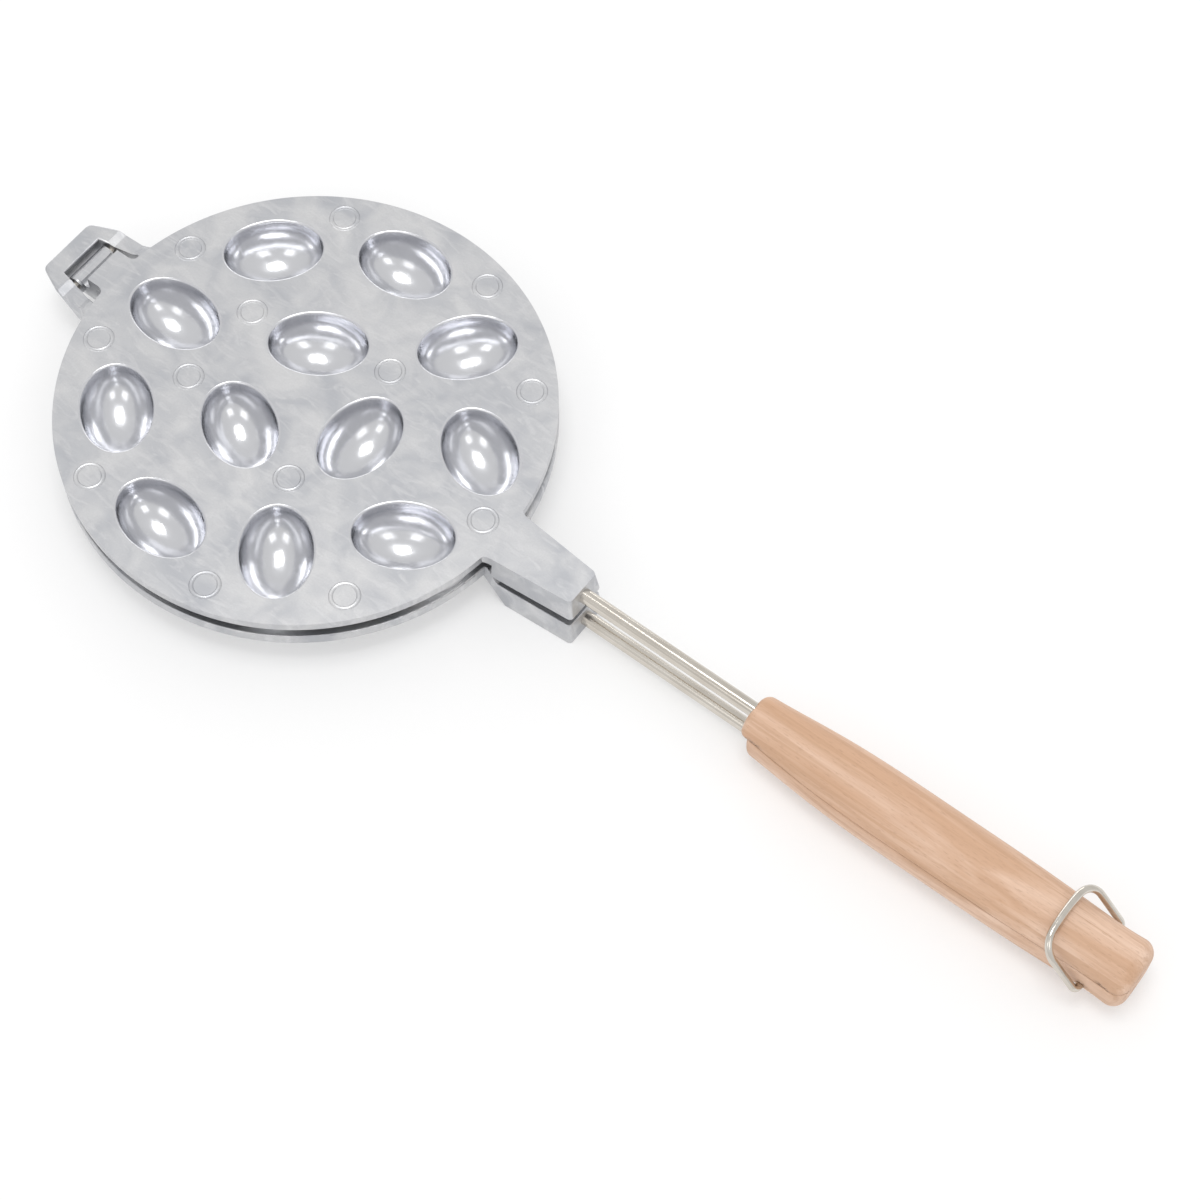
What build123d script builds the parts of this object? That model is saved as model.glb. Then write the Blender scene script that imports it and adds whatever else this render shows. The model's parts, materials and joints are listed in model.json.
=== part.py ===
from build123d import *
import math
import os

os.makedirs("parts", exist_ok=True)

# Walnut cookie mold: two cast discs on a pin hinge, steel rods, a split beech handle and a wire bail.
# Millimetres. +Z up, +X from the hinge to the handle; origin under the middle, on the rest plane.

# ---- the two discs ----
disc_radius = 92.5
top_thick = 3.75          # rim of the top disc
rim_gap = 5.3             # dark gap seen between the two rims
bottom_thick = 4.9        # rim of the bottom disc
plate_gap = 0.3           # top disc above the raised cavity rims
edge_round = 0.6          # broken edges of the castings
rim_round = 3.0           # webs and stems run into the rims with this radius

# ---- one nut ----
nut_half_length = 18.6    # hollow seen in the top disc
nut_half_width = 13.3
lip_round = 0.9
punch_wall = 2.2
dough_gap = 2.8           # thickness of the baked shell
cavity_wall = 3.0
cup_neck = 1.0            # straight part of each cavity and dome above its ellipsoid
crown_flat = 0.35         # cut off each dome, so that the mold stands still
nut_land = 11.0           # least metal between the end of one hollow and the side of the next
lip_level = top_thick + plate_gap

# rings of nuts: distance from the disc's centre, bearing, turn of the long axis (degrees)
inner_ring = 25.6
nut_rows = [
    (inner_ring, 0.0, 90.0),
    (inner_ring, 120.0, 30.0),
    (disc_radius - 28.6, 180.0, 0.0),
    (disc_radius - 23.4, 140.4, 44.0),
    (disc_radius - 22.8, 98.0, 6.0),
    (disc_radius - 29.3, 59.4, 50.5),
    (disc_radius - 24.9, 19.0, -30.0),
]

# ---- round ejector marks in the top face ----
mark_radius = 5.7
mark_line = 0.9
mark_depth = 0.2
outer_marks = disc_radius - 9.7
mark_rows = [(outer_marks, bearing) for bearing in (0.0, 40.3, 75.2, 120.0, 162.0)]
mark_rows += [(disc_radius - 59.5, 60.6), (disc_radius - 47.5, 156.5)]

# ---- hinge, beyond the rim on the -X side (distances from the disc's centre) ----
pin_reach = disc_radius + 14.5
pin_radius = 2.0
pin_play = 0.05           # running fit in the knuckle
pin_hold = 0.02           # fit in the frame's legs
knuckle_radius = 3.7
bar_inner = pin_reach + knuckle_radius + 1.0
hinge_reach = bar_inner + 7.7
bar_half = 12.6
bar_corner = 3.0
window_bar_half = 9.6
window_root_half = 13.0
window_root_reach = disc_radius + 2.5
frame_root_reach = disc_radius - 4.5
knuckle_half = window_bar_half - 0.4
tongue_half = 8.3
tongue_reach = pin_reach - 6.8
root_overlap = 4.0        # what is joined to a disc starts this far inside its rim
leg_mid_reach = pin_reach + 1.4
leg_mid_half = 17.5
leg_corner = 9.0
leg_root_half = 18.0
flare_reach = disc_radius + 2.0
flare_width = 7.0         # the legs widen by this much as they run into the rim
flare_round = 6.0
frame_draft = 24.0        # the outer faces lean in below the saddles (degrees)
draft_drop = 1.5          # that lean starts this far below the legs' top
web_reach = pin_reach + 0.5         # outside, a web deepens the legs from here
foot_reach = disc_radius + 6.5      # to the full depth of the rim here
saddle_depth = 1.0
saddle_outer = pin_reach - 2.0
saddle_inner = disc_radius + 4.5
saddle_outer_slope = 3.0
saddle_inner_slope = 2.0
pin_blind = window_bar_half + 3.6   # the pin's hole stops inside the leg on the -Y side
pin_head_inset = 0.5

# ---- stems and rods, on the +X side ----
stem_root_reach = disc_radius + 1.8
stem_root_half = 10.65
stem_end_reach = disc_radius + 35.5
stem_end_half = 7.6
stem_height = 10.5
stem_draft = 6.5          # the stems' sides lean outwards going down (degrees)
stem_corner = 1.5
lower_stem_top = 15.9
lower_stem_end_half = 9.0
lower_stem_root_half = 11.6
lower_stem_longer = 0.6
stem_lift = 0.2           # the lower stem clears the rest plane by this much
ramp_start = disc_radius + 0.2
ramp_end = disc_radius + 4.7
rod_radius = 2.8
rod_fit = 0.03
rod_socket = 22.0         # length of a rod inside its stem
rod_in_wood = 78.0
rod_cover = 0.6           # from the upper rod's surface to the seam

# ---- handle ----
nose_reach = disc_radius + 110.0
lower_nose_reach = nose_reach + 3.0
handle_length = 158.5
handle_half_width = 13.25
handle_half_height = 12.6
rest_gap = 0.15           # under the handle when the mold lies level
seam_depth = 8.3
seam_gap = 0.3
nose_round = 3.2
end_round = 5.2
squareness = 2.35         # 2 would be an ellipse
# shares of the handle's length, half width and half height
handle_rows = [
    (0.0, 0.732, 0.984),
    (0.095, 0.823, 0.992),
    (0.205, 0.943, 0.996),
    (0.347, 1.0, 1.0),
    (0.536, 0.996, 0.996),
    (0.792, 0.951, 0.98),
    (1.0, 0.989, 0.992),
]

# ---- bail ----
wire_radius = 1.4
wire_play = 0.08
bail_from_end = 15.0
bail_under_seam = 7.7     # its pivot is drilled into the lower handle half
bail_length = 23.6        # pivot to crossbar
bail_side_play = 0.2
bail_arch = 1.6           # rise of the crossbar in its middle
bail_corner = 8.0
bail_bend = 2.4
bail_foot = 8.0           # the bent ends reach this near to the middle
bail_rest_gap = 0.25

# ---- derived places ----
punch_half_length = nut_half_length + punch_wall
punch_half_width = nut_half_width + punch_wall
cavity_half_length = punch_half_length + dough_gap
cavity_half_width = punch_half_width + dough_gap
dome_half_length = cavity_half_length + cavity_wall
dome_half_width = cavity_half_width + cavity_wall
rest_depth = lip_level + cup_neck + dome_half_width - crown_flat
bottom_level = top_thick + rim_gap
bottom_under = bottom_level + bottom_thick
pin_depth = lip_level + (bottom_under - lip_level) / 2
draft_level = lip_level + draft_drop
pin_leg_half = leg_mid_half - (pin_depth - draft_level) * math.tan(math.radians(frame_draft))
lower_stem_bottom = rest_depth - stem_lift
lower_rod_depth = (lower_stem_top + lower_stem_bottom) / 2
upper_rod_depth = seam_depth - rod_radius - rod_cover
handle_end = nose_reach + handle_length
handle_depth = rest_depth - rest_gap - handle_half_height
bail_reach = handle_end - bail_from_end
bail_depth = seam_depth + bail_under_seam
bail_half = handle_half_width + wire_radius + bail_side_play
disc_x = (hinge_reach - handle_end) / 2
top_z = rest_depth

top_face = Plane(origin=(disc_x, 0, top_z))
side_view = Plane(origin=(disc_x, 0, top_z), x_dir=(1, 0, 0), z_dir=(0, -1, 0))


def both_sides(rows):
    """A row on the centre line stands once, any other row once on each side."""
    places = []
    for distance, bearing, turn in rows:
        along = distance * math.cos(math.radians(bearing))
        across = distance * math.sin(math.radians(bearing))
        places.append(Location((disc_x + along, across, top_z), (0, 0, turn)))
        if across > 0.01:
            places.append(Location((disc_x + along, -across, top_z), (0, 0, -turn)))
    return places


nut_spacing = nut_half_length + nut_half_width + nut_land
nut_places = []
for row in nut_rows:
    new_places = both_sides([row])
    gaps = [(new.position - old.position).length for new in new_places for old in nut_places]
    if min(gaps, default=nut_spacing) >= nut_spacing:
        nut_places += new_places

mark_places = both_sides([(distance, bearing, 0.0) for distance, bearing in mark_rows])
mark_points = [(place.position.X - disc_x, place.position.Y) for place in mark_places]


def nut_form(half_length, half_width, neck):
    """Half a nut lying along X: a straight neck down from z = 0, an ellipsoid of revolution below."""
    with BuildPart() as form:
        if neck > 0:
            with BuildSketch(Plane.XY):
                Ellipse(half_length, half_width)
            extrude(amount=-neck)
        with BuildSketch(Plane.XY.offset(-neck)):
            Ellipse(half_length, half_width)
            Rectangle(2 * half_length, 2 * half_width, align=(Align.CENTER, Align.MAX), mode=Mode.SUBTRACT)
        revolve(axis=Axis((0, 0, -neck), (-1, 0, 0)), revolution_arc=180)
    return form.part


# ---- top disc: slab, tongue and knuckle, stem, punches, hollows ----
tongue_profile = [
    (-disc_radius + root_overlap, 0),
    (-tongue_reach, 0),
    (-tongue_reach, knuckle_radius - pin_depth),
    (-pin_reach, knuckle_radius - pin_depth),
    (-pin_reach, -knuckle_radius - pin_depth),
    (-tongue_reach + top_thick, -knuckle_radius - pin_depth),
    (-tongue_reach + top_thick, -top_thick),
    (-disc_radius + root_overlap, -top_thick),
]
# corners of that profile and how far they are rounded
tongue_rounds = [
    ((-tongue_reach, knuckle_radius - pin_depth, 0), 1.2),
    ((-tongue_reach + top_thick, -top_thick, 0), 1.8),
    ((-tongue_reach + top_thick, -knuckle_radius - pin_depth, 0), 3.0),
]
with BuildPart() as tongue:
    with BuildSketch(side_view):
        with BuildLine():
            Polyline(*tongue_profile, close=True)
        make_face()
        for corner, radius in tongue_rounds:
            fillet(vertices().sort_by_distance(corner)[0], radius)
    extrude(amount=tongue_half, both=True)
    with BuildSketch(side_view):
        with Locations((-pin_reach, -pin_depth)):
            Circle(knuckle_radius)
    extrude(amount=knuckle_half, both=True)
    with BuildSketch(side_view):
        with Locations((-pin_reach, -pin_depth)):
            Circle(pin_radius + pin_play)
    extrude(amount=knuckle_half, both=True, mode=Mode.SUBTRACT)

stem_start = disc_radius - root_overlap
stem_slope = (stem_root_half - stem_end_half) / (stem_end_reach - stem_root_reach)
stem_start_half = stem_root_half + stem_slope * (stem_root_reach - stem_start)
with BuildPart() as upper_stem:
    with BuildSketch(top_face):
        with BuildLine():
            Polyline(
                (stem_start, stem_start_half),
                (stem_end_reach, stem_end_half),
                (stem_end_reach, -stem_end_half),
                (stem_start, -stem_start_half),
                close=True,
            )
        make_face()
    extrude(amount=-stem_height, taper=-stem_draft)
    with BuildSketch(side_view):
        with BuildLine():
            Polyline(
                (stem_start, 0),
                (stem_end_reach + stem_height, 0),
                (stem_end_reach + stem_height, -stem_height),
                (stem_root_reach + 1.0, -stem_height),
                (stem_root_reach + 1.0, -top_thick),
                (stem_start, -top_thick),
                close=True,
            )
        make_face()
    extrude(amount=disc_radius, both=True, mode=Mode.INTERSECT)
    end_edges = edges().filter_by(lambda e: abs(e.tangent_at(0.5).Z) > 0.8).group_by(Axis.X)[-1]
    fillet(end_edges, stem_corner)

punch = nut_form(punch_half_length, punch_half_width, lip_level)
hollow = nut_form(nut_half_length, nut_half_width, lip_level)

with BuildPart() as top_plate:
    with BuildSketch(top_face):
        Circle(disc_radius)
        with Locations((-disc_radius, 0)):
            Rectangle(2 * root_overlap, 2 * tongue_half)
        roots = vertices().filter_by_position(Axis.X, -disc_radius + 0.01, -disc_radius + 2.0)
        fillet(roots, rim_round)
    extrude(amount=-top_thick)
    add(tongue.part)
    add(upper_stem.part)
    root_edges = edges().filter_by(lambda e: abs(e.tangent_at(0.5).Z) > 0.8)
    root_edges = root_edges.filter_by_position(Axis.X, disc_x + disc_radius - 1.5, disc_x + disc_radius + 0.5)
    fillet(root_edges, rim_round)
    fillet(faces().sort_by(Axis.Z)[-1].outer_wire().edges(), edge_round)
    with Locations(*nut_places):
        add(punch)
    with Locations(*nut_places):
        add(hollow, mode=Mode.SUBTRACT)
    lips = faces().filter_by(Plane.XY).sort_by(Axis.Z)[-1].inner_wires().edges()
    fillet(lips, lip_round)
    with BuildSketch(top_face):
        with Locations(*mark_points):
            Circle(mark_radius)
            Circle(mark_radius - mark_line, mode=Mode.SUBTRACT)
    extrude(amount=-mark_depth, mode=Mode.SUBTRACT)
    with BuildSketch(Plane(origin=(disc_x + stem_end_reach - rod_socket, 0, top_z - upper_rod_depth), z_dir=(1, 0, 0))):
        Circle(rod_radius + rod_fit)
    extrude(amount=2 * rod_socket, mode=Mode.SUBTRACT)

# ---- bottom disc: rim, hinge frame, stem, domes, cavities ----
leg_edge = [
    (-flare_reach, leg_root_half),
    (-leg_mid_reach, leg_mid_half),
    (-hinge_reach, bar_half),
    (-hinge_reach, -bar_half),
    (-leg_mid_reach, -leg_mid_half),
    (-flare_reach, -leg_root_half),
]
window_outline = [
    (-frame_root_reach, window_root_half),
    (-window_root_reach, window_root_half),
    (-bar_inner, window_bar_half),
    (-bar_inner, -window_bar_half),
    (-window_root_reach, -window_root_half),
    (-frame_root_reach, -window_root_half),
]
with BuildPart() as drafted_core:
    with BuildSketch(top_face.offset(-draft_level)):
        with BuildLine():
            Polyline(*leg_edge, close=True)
        make_face()
    extrude(amount=draft_level - bottom_under - edge_round, taper=frame_draft)
    leaning = edges().filter_by(lambda e: abs(e.tangent_at(0.5).Z) > 0.6).group_by(Axis.X)
    fillet(leaning[1], leg_corner)
    fillet(edges().filter_by(lambda e: abs(e.tangent_at(0.5).Z) > 0.6).group_by(Axis.X)[0], bar_corner)

with BuildPart() as undercut:
    with BuildSketch(side_view):
        with BuildLine():
            Polyline(
                (-hinge_reach - root_overlap, -draft_level),
                (-web_reach, -draft_level),
                (-foot_reach, -bottom_under),
                (-foot_reach, -bottom_under - edge_round),
                (-hinge_reach - root_overlap, -bottom_under - edge_round),
                close=True,
            )
        make_face()
    extrude(amount=2 * leg_root_half, both=True)
    add(drafted_core.part, mode=Mode.SUBTRACT)

with BuildPart() as hinge_frame:
    with BuildSketch(top_face.offset(-lip_level)):
        with BuildLine():
            Polyline(
                (-frame_root_reach, leg_root_half + flare_width),
                *leg_edge,
                (-frame_root_reach, -leg_root_half - flare_width),
                close=True,
            )
        make_face()
        fillet(vertices().group_by(Axis.X)[0], bar_corner)
        leg_bends = vertices().filter_by_position(Axis.X, -leg_mid_reach - 0.1, -leg_mid_reach + 0.1)
        fillet(leg_bends, leg_corner)
        flares = vertices().filter_by_position(Axis.X, -flare_reach - 0.1, -flare_reach + 0.1)
        fillet(flares, flare_round)
        with BuildLine():
            Polyline(*window_outline, close=True)
        make_face(mode=Mode.SUBTRACT)
    extrude(amount=lip_level - bottom_under)
    rim_edges = faces().sort_by(Axis.Z)[-1].edges()
    fillet(rim_edges.filter_by(lambda e: e.center().X < disc_x - frame_root_reach - edge_round), edge_round)
    add(undercut.part, mode=Mode.SUBTRACT)
    with BuildSketch(side_view):
        with BuildLine():
            Polyline(
                (-saddle_outer - saddle_outer_slope, -lip_level),
                (-saddle_outer, -lip_level - saddle_depth),
                (-saddle_inner, -lip_level - saddle_depth),
                (-saddle_inner + saddle_inner_slope, -lip_level),
                close=True,
            )
        make_face()
    extrude(amount=2 * leg_root_half, both=True, mode=Mode.SUBTRACT)

lower_end = stem_end_reach + lower_stem_longer
stem_spread = (lower_stem_top - bottom_level) * math.tan(math.radians(stem_draft))
with BuildPart() as lower_stem:
    with BuildSketch(top_face.offset(-bottom_level)):
        with BuildLine():
            Polyline(
                (disc_radius - root_overlap, lower_stem_root_half - stem_spread),
                (lower_end - stem_spread, lower_stem_end_half - stem_spread),
                (lower_end - stem_spread, stem_spread - lower_stem_end_half),
                (disc_radius - root_overlap, stem_spread - lower_stem_root_half),
                close=True,
            )
        make_face()
    extrude(amount=bottom_level - rest_depth, taper=-stem_draft)
    with BuildSketch(side_view):
        with BuildLine():
            Polyline(
                (disc_radius - root_overlap, -bottom_level),
                (ramp_start, -bottom_level),
                (ramp_end, -lower_stem_top),
                (stem_end_reach + stem_height, -lower_stem_top),
                (stem_end_reach + stem_height, -lower_stem_bottom),
                (ramp_end + root_overlap, -lower_stem_bottom),
                (disc_radius - root_overlap / 2, -bottom_under),
                (disc_radius - root_overlap, -bottom_under),
                close=True,
            )
        make_face()
    extrude(amount=disc_radius, both=True, mode=Mode.INTERSECT)
    end_edges = edges().filter_by(lambda e: abs(e.tangent_at(0.5).Z) > 0.9).group_by(Axis.X)[-1]
    fillet(end_edges, stem_corner)
    rims = edges().filter_by_position(Axis.Z, top_z - lower_stem_top - 0.1, top_z - lower_stem_top + 0.1)
    fillet(rims.filter_by(lambda e: e.center().X > disc_x + ramp_end + 1.0), edge_round)

dome = nut_form(dome_half_length, dome_half_width, cup_neck)
cavity = nut_form(cavity_half_length, cavity_half_width, cup_neck)
cup_places = [Location((0, 0, -lip_level)) * place for place in nut_places]

with BuildPart() as bottom_plate:
    with BuildSketch(top_face.offset(-bottom_level)):
        Circle(disc_radius)
    extrude(amount=-bottom_thick)
    fillet(edges().filter_by(GeomType.CIRCLE), edge_round)
    add(hinge_frame.part)
    add(lower_stem.part)
    with Locations(*cup_places):
        add(dome)
    with Locations(*cup_places):
        add(cavity, mode=Mode.SUBTRACT)
    split(bisect_by=Plane.XY, keep=Keep.TOP)
    with BuildSketch(side_view.offset(pin_blind)):
        with Locations((-pin_reach, -pin_depth)):
            Circle(pin_radius + pin_hold)
    extrude(amount=-2 * disc_radius, mode=Mode.SUBTRACT)
    with BuildSketch(Plane(origin=(disc_x + stem_end_reach - rod_socket, 0, top_z - lower_rod_depth), z_dir=(1, 0, 0))):
        Circle(rod_radius + rod_fit)
    extrude(amount=2 * rod_socket, mode=Mode.SUBTRACT)

# ---- hinge pin: driven in from the +Y side ----
with BuildPart() as hinge_pin:
    with BuildSketch(side_view.offset(pin_blind - edge_round / 2)):
        with Locations((-pin_reach, -pin_depth)):
            Circle(pin_radius)
    extrude(amount=-(pin_blind - edge_round / 2 + pin_leg_half - pin_head_inset))
    chamfer(edges(), 0.3)

# ---- rods ----
rod_start = stem_end_reach - rod_socket + 0.3


def rod(depth, length):
    """A plain rod along X with broken ends."""
    with BuildPart() as bar:
        with BuildSketch(Plane(origin=(disc_x + rod_start, 0, top_z - depth), z_dir=(1, 0, 0))):
            Circle(rod_radius)
        extrude(amount=length)
        chamfer(edges().filter_by(GeomType.CIRCLE), 0.4)
    return bar.part


with BuildPart() as upper_rod:
    add(rod(upper_rod_depth, nose_reach + rod_in_wood - rod_start))

with BuildPart() as lower_rod:
    add(rod(lower_rod_depth, nose_reach + rod_in_wood - rod_start))


# ---- handle: one shaped stick, sawn along the seam ----
def section_points(half_width, half_height):
    """Twelve points of a slightly squared ellipse."""
    points = []
    for step in range(12):
        angle = 2 * math.pi * step / 12
        wide = math.copysign(abs(math.cos(angle)) ** (2 / squareness), math.cos(angle))
        high = math.copysign(abs(math.sin(angle)) ** (2 / squareness), math.sin(angle))
        points.append((half_width * wide, half_height * high))
    return points


with BuildPart() as stick:
    for share, wide, high in handle_rows:
        behind = share * handle_length
        section = Plane(origin=(disc_x + nose_reach + behind, 0, top_z - handle_depth), x_dir=(0, 1, 0), z_dir=(1, 0, 0))
        with BuildSketch(section):
            with BuildLine():
                Spline(*section_points(wide * handle_half_width, high * handle_half_height), periodic=True)
            make_face()
    loft()

seam = Plane.XY.offset(top_z - seam_depth)

with BuildPart() as upper_handle:
    add(stick.part)
    split(bisect_by=seam.offset(seam_gap / 2), keep=Keep.TOP)
    fillet(faces().sort_by(Axis.X)[0].edges().sort_by(Axis.Z)[-1], nose_round)
    fillet(faces().sort_by(Axis.X)[-1].edges().sort_by(Axis.Z)[-1], end_round)
    with BuildSketch(Plane(origin=(disc_x, 0, top_z - upper_rod_depth), z_dir=(1, 0, 0))):
        Circle(rod_radius + rod_fit)
    extrude(amount=nose_reach + rod_in_wood + 0.4, mode=Mode.SUBTRACT)

with BuildPart() as lower_handle:
    add(stick.part)
    split(bisect_by=seam.offset(-seam_gap / 2), keep=Keep.BOTTOM)
    split(bisect_by=Plane.YZ.offset(disc_x + lower_nose_reach), keep=Keep.TOP)
    fillet(faces().sort_by(Axis.X)[0].edges().sort_by(Axis.Z)[0], nose_round)
    fillet(faces().sort_by(Axis.X)[-1].edges().sort_by(Axis.Z)[0], end_round)
    with BuildSketch(Plane(origin=(disc_x, 0, top_z - lower_rod_depth), z_dir=(1, 0, 0))):
        Circle(rod_radius + rod_fit)
    extrude(amount=nose_reach + rod_in_wood + 0.4, mode=Mode.SUBTRACT)
    for side in (1, -1):
        with BuildSketch(side_view.offset(side * (bail_foot - 0.3))):
            with Locations((bail_reach, -bail_depth)):
                Circle(wire_radius + wire_play)
        extrude(amount=side * bail_half, mode=Mode.SUBTRACT)

# ---- bail: wire bent in one plane, leaning back over the upper half ----
handle_top = handle_half_height - handle_depth
bail_rise = bail_depth + handle_top + wire_radius + bail_rest_gap
bail_lean = math.asin(bail_rise / bail_length)
bail_plane = Plane(
    origin=(disc_x + bail_reach, 0, top_z - bail_depth),
    x_dir=(0, 1, 0),
    z_dir=(math.sin(bail_lean), 0, math.cos(bail_lean)),
)
bail_turns = [
    (bail_half, 0, bail_bend),
    (-bail_half, 0, bail_bend),
    (bail_half, bail_length - bail_arch, bail_corner),
    (-bail_half, bail_length - bail_arch, bail_corner),
]

with BuildPart() as locking_bail:
    with BuildLine(bail_plane) as wire:
        Polyline(
            (bail_foot, 0),
            (bail_half, 0),
            (bail_half, bail_length - bail_arch),
        )
        ThreePointArc(
            (bail_half, bail_length - bail_arch),
            (0, bail_length),
            (-bail_half, bail_length - bail_arch),
        )
        Polyline(
            (-bail_half, bail_length - bail_arch),
            (-bail_half, 0),
            (-bail_foot, 0),
        )
        for across, along, radius in bail_turns:
            turn_point = bail_plane.from_local_coords((across, along, 0))
            fillet(wire.vertices().sort_by_distance(turn_point)[0], radius)
    with BuildSketch(Plane(origin=wire.wires()[0] @ 0, z_dir=wire.wires()[0] % 0)):
        Circle(wire_radius)
    sweep(path=wire.wires()[0])

pieces = [
    (top_plate, "top_plate"),
    (bottom_plate, "bottom_plate"),
    (hinge_pin, "hinge_pin"),
    (upper_rod, "upper_rod"),
    (lower_rod, "lower_rod"),
    (upper_handle, "upper_handle"),
    (lower_handle, "lower_handle"),
    (locking_bail, "locking_bail"),
]
for piece, name in pieces:
    piece.part.label = name
    export_step(piece.part, f"parts/{name}.step")
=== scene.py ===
# %% [markdown]
# # A walnut cookie mold
# The mold is a kitchen iron: two cast discs hinged on one side, two steel rods, a beech handle
# sawn in two along its length, and a wire bail that holds the halves shut. The shapes and sizes
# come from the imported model. This script makes finer surfaces where the light would show facets,
# gives every piece its finish, and sets a plain studio round it.

# %% Load the frame
import bpy
import bmesh
import json
import math
from mathutils import Matrix, Vector

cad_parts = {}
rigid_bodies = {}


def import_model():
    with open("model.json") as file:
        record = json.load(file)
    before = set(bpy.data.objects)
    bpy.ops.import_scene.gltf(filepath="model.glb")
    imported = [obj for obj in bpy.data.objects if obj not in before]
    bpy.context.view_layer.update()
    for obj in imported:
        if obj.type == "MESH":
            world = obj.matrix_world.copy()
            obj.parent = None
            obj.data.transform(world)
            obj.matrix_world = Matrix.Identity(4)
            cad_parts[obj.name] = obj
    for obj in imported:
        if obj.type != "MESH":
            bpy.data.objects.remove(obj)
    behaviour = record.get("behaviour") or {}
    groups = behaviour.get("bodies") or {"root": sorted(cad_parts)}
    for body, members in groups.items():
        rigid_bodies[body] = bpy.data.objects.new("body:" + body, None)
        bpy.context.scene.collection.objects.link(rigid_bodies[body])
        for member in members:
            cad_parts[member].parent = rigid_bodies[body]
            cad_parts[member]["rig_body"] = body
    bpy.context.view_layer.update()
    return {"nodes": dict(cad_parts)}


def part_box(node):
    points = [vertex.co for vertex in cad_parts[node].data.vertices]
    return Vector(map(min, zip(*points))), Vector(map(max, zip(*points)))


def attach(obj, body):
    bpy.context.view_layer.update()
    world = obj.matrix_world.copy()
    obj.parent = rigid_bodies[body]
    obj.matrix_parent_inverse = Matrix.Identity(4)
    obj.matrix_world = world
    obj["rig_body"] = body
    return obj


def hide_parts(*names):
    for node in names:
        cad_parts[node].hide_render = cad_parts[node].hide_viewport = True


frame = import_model()

# %% [markdown]
# ## Places that everything is measured from
# All sizes are in metres. The middle of the discs and the level of their top face could be typed
# in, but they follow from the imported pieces, so nothing here has to be fitted by eye. The hinge
# frame of the bottom disc reaches a known distance past the rim, and the middle lies one radius
# further in.

# %% Shared places
MM = 0.001
bottom_low, bottom_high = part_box("bottom_plate")
disc_radius = (bottom_high.y - bottom_low.y) / 2
frame_past_rim = 26.9 * MM
hinge_reach = disc_radius + frame_past_rim
disc_x = bottom_low.x + hinge_reach
top_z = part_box("top_plate")[1].z
centre = Vector((disc_x, 0, top_z))
print("disc centre x", round(disc_x, 5), "top face z", round(top_z, 5))
print("disc radius", round(disc_radius, 5))

# %% [markdown]
# ## Working on one piece at a time
# Blender's operators act on whatever is selected, and the loaded nodes arrive selected. So each
# step starts by clearing the selection and picking out one piece.

# %% One piece at a time
def only(piece):
    """Selects one piece and makes it the active one."""
    bpy.ops.object.select_all(action="DESELECT")
    piece.select_set(True)
    bpy.context.view_layer.objects.active = piece


# %% [markdown]
# ## Finishes
# A finish is a small network of nodes. An image could be wrapped round each piece instead, but it
# would need a file and an unwrapped mesh. The networks here read Object coordinates, so a pattern
# keeps its real size in metres and stays on the piece when it moves. Values that are the same all
# over a surface are set on the shader itself, and only what changes from place to place is
# linked.

# %% A new finish
def new_finish(name, metallic):
    """A finish with one shader, and its Object coordinates."""
    finish = bpy.data.materials.new(name)
    finish.use_nodes = True
    nodes = finish.node_tree.nodes
    nodes.clear()
    shader = nodes.new("ShaderNodeBsdfPrincipled")
    output = nodes.new("ShaderNodeOutputMaterial")
    finish.node_tree.links.new(shader.outputs["BSDF"], output.inputs["Surface"])
    shader.inputs["Metallic"].default_value = metallic
    place = nodes.new("ShaderNodeTexCoord")
    return finish, shader, place.outputs["Object"]


# %% [markdown]
# ### Patterns
# Wiped metal, drawn wire and wood all have marks that run one way. One noise pattern can make
# them all: the coordinates are squeezed along some axes first, so that its round clouds come out
# as long streaks. The squeeze then counts the clouds to the metre, and the noise itself stays at
# a scale of 1.

# %% Coordinates and clouds
COUNTED = 1  # the noise scale where the coordinates already count the clouds


def stretched(finish, place, per_metre, turn=0):
    """The coordinates times a count along each axis, turned by degrees about the upright axis."""
    mapping = finish.node_tree.nodes.new("ShaderNodeMapping")
    mapping.inputs["Scale"].default_value = per_metre
    mapping.inputs["Rotation"].default_value = (0, 0, math.radians(turn))
    finish.node_tree.links.new(place, mapping.inputs["Vector"])
    return mapping.outputs["Vector"]


def clouds(finish, place, per_metre, detail=3, distortion=0):
    """Soft random clouds between 0 and 1, so many to the metre."""
    noise = finish.node_tree.nodes.new("ShaderNodeTexNoise")
    noise.inputs["Scale"].default_value = per_metre
    noise.inputs["Detail"].default_value = detail
    noise.inputs["Distortion"].default_value = distortion
    finish.node_tree.links.new(place, noise.inputs["Vector"])
    return noise.outputs["Fac"]


# %% [markdown]
# ### From pattern to surface
# A pattern is only a number at each place. A range turns it into a roughness or a share, a mix
# turns that share into a colour, and a bump reads it as a height. Bumps are kept for what is far
# too shallow to model, such as grain and rubbing marks.

# %% Ranges, colours and relief
def band(finish, value, low, high, to_low=0, to_high=1):
    """Stretches the part of a value between low and high over another range."""
    spread_out = finish.node_tree.nodes.new("ShaderNodeMapRange")
    spread_out.inputs["From Min"].default_value = low
    spread_out.inputs["From Max"].default_value = high
    spread_out.inputs["To Min"].default_value = to_low
    spread_out.inputs["To Max"].default_value = to_high
    finish.node_tree.links.new(value, spread_out.inputs["Value"])
    return spread_out.outputs["Result"]


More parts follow.
